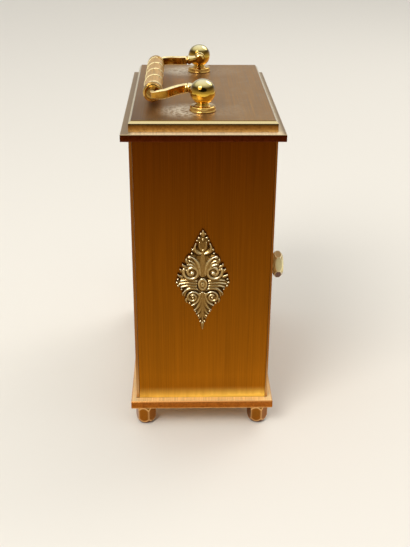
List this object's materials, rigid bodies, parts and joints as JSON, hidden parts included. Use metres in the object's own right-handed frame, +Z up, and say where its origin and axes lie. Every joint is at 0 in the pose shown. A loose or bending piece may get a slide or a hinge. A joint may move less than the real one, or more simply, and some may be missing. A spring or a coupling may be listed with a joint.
{
  "type": "officers clock",
  "caption": "Small brass carriage clock: flat-sided case on hexagonal feet, folding bail handle between ball posts, applied side ornaments, glazed dial, hinged rear door.",
  "frame": {"origin": "centre of the base outline of the whole part, on the surface that the feet stand on", "axes": "+Z up; +Y towards the rear door, so the dial faces -Y; +X to the right as seen from the dial side"},
  "size_m": [0.0992, 0.0572, 0.1305],
  "materials": {
    "brushed_brass": "brushed vertically, aged satin",
    "polished_brass": "polished, lightly aged",
    "satin_brass": "satin, fine brushed",
    "antique_brass": "cast, dull antique gold",
    "steel": "plain bright steel",
    "glass": "clear, bevelled round its edge",
    "enamel": "ivory enamel, satin",
    "black_plastic": "moulded, matte",
    "grey_plastic": "moulded, matte",
    "black_hand": "black lacquer",
    "cell_jacket": "printed-film jacket, plain"
  },
  "bodies": {
    "case": {"ball_post_left": "polished_brass", "ball_post_right": "polished_brass", "base_plate": "brushed_brass", "battery": "cell_jacket", "battery_contact_negative": "steel", "battery_contact_positive": "steel", "dial_disc": "enamel", "dial_plate": "brushed_brass", "dial_ring": "polished_brass", "dial_screw_lower_left": "steel", "dial_screw_lower_right": "steel", "dial_screw_upper_left": "steel", "dial_screw_upper_right": "steel", "dial_surround": "satin_brass", "door_catch": "steel", "door_pin_bottom": "steel", "door_pin_top": "steel", "foot_front_left": "polished_brass", "foot_front_right": "polished_brass", "foot_rear_left": "polished_brass", "foot_rear_right": "polished_brass", "front_frame": "brushed_brass", "front_glass": "glass", "handle_pivot_left": "polished_brass", "handle_pivot_right": "polished_brass", "lower_top_plate": "satin_brass", "movement_cover": "grey_plastic", "movement_housing": "black_plastic", "movement_nut": "polished_brass", "pillar_front_left": "satin_brass", "pillar_front_right": "satin_brass", "pillar_rear_left": "satin_brass", "pillar_rear_right": "satin_brass", "post_nut_left": "steel", "post_nut_right": "steel", "rear_frame": "brushed_brass", "side_ornament_left": "antique_brass", "side_ornament_right": "antique_brass", "side_panel_left": "brushed_brass", "side_panel_right": "brushed_brass", "top_screw_front_left": "steel", "top_screw_front_right": "steel", "top_screw_rear_left": "steel", "top_screw_rear_right": "steel", "upper_top_plate": "satin_brass"},
    "door": {"rear_door": "brushed_brass", "door_knob": "polished_brass", "door_knob_nut": "steel"},
    "handle": {"handle_arm_left": "polished_brass", "handle_arm_right": "polished_brass", "grip_collar_left": "polished_brass", "grip_collar_right": "polished_brass", "handle_grip": "satin_brass"},
    "minute": {"minute_arbor": "steel", "minute_hand": "black_hand", "hand_nut": "polished_brass", "setting_knob": "grey_plastic"},
    "hour": {"hour_pipe": "polished_brass", "hour_hand": "black_hand"}
  },
  "joints": [
    {"name": "handle_swing", "type": "hinge", "parent": "case", "child": "handle", "pos_m": [0, -0.00088, 0.12635], "axis": [-1, 0, 0], "range_deg": [0, 194.33]},
    {"name": "door_swing", "type": "hinge", "parent": "case", "child": "door", "pos_m": [-0.0391, 0.02312, 0.06245], "axis": [0, 0, 1], "range_deg": [0, 100]},
    {"name": "minute_turn", "type": "hinge", "parent": "case", "child": "minute", "pos_m": [0, -0.00088, 0.06245], "axis": [0, 1, 0], "continuous": true},
    {"name": "hour_turn", "type": "hinge", "parent": "case", "child": "hour", "pos_m": [0, -0.00088, 0.06245], "axis": [0, 1, 0], "continuous": true}
  ],
  "couplings": [
    {"joint": "hour_turn", "follows": "minute_turn", "ratio": 0.083333}
  ]
}
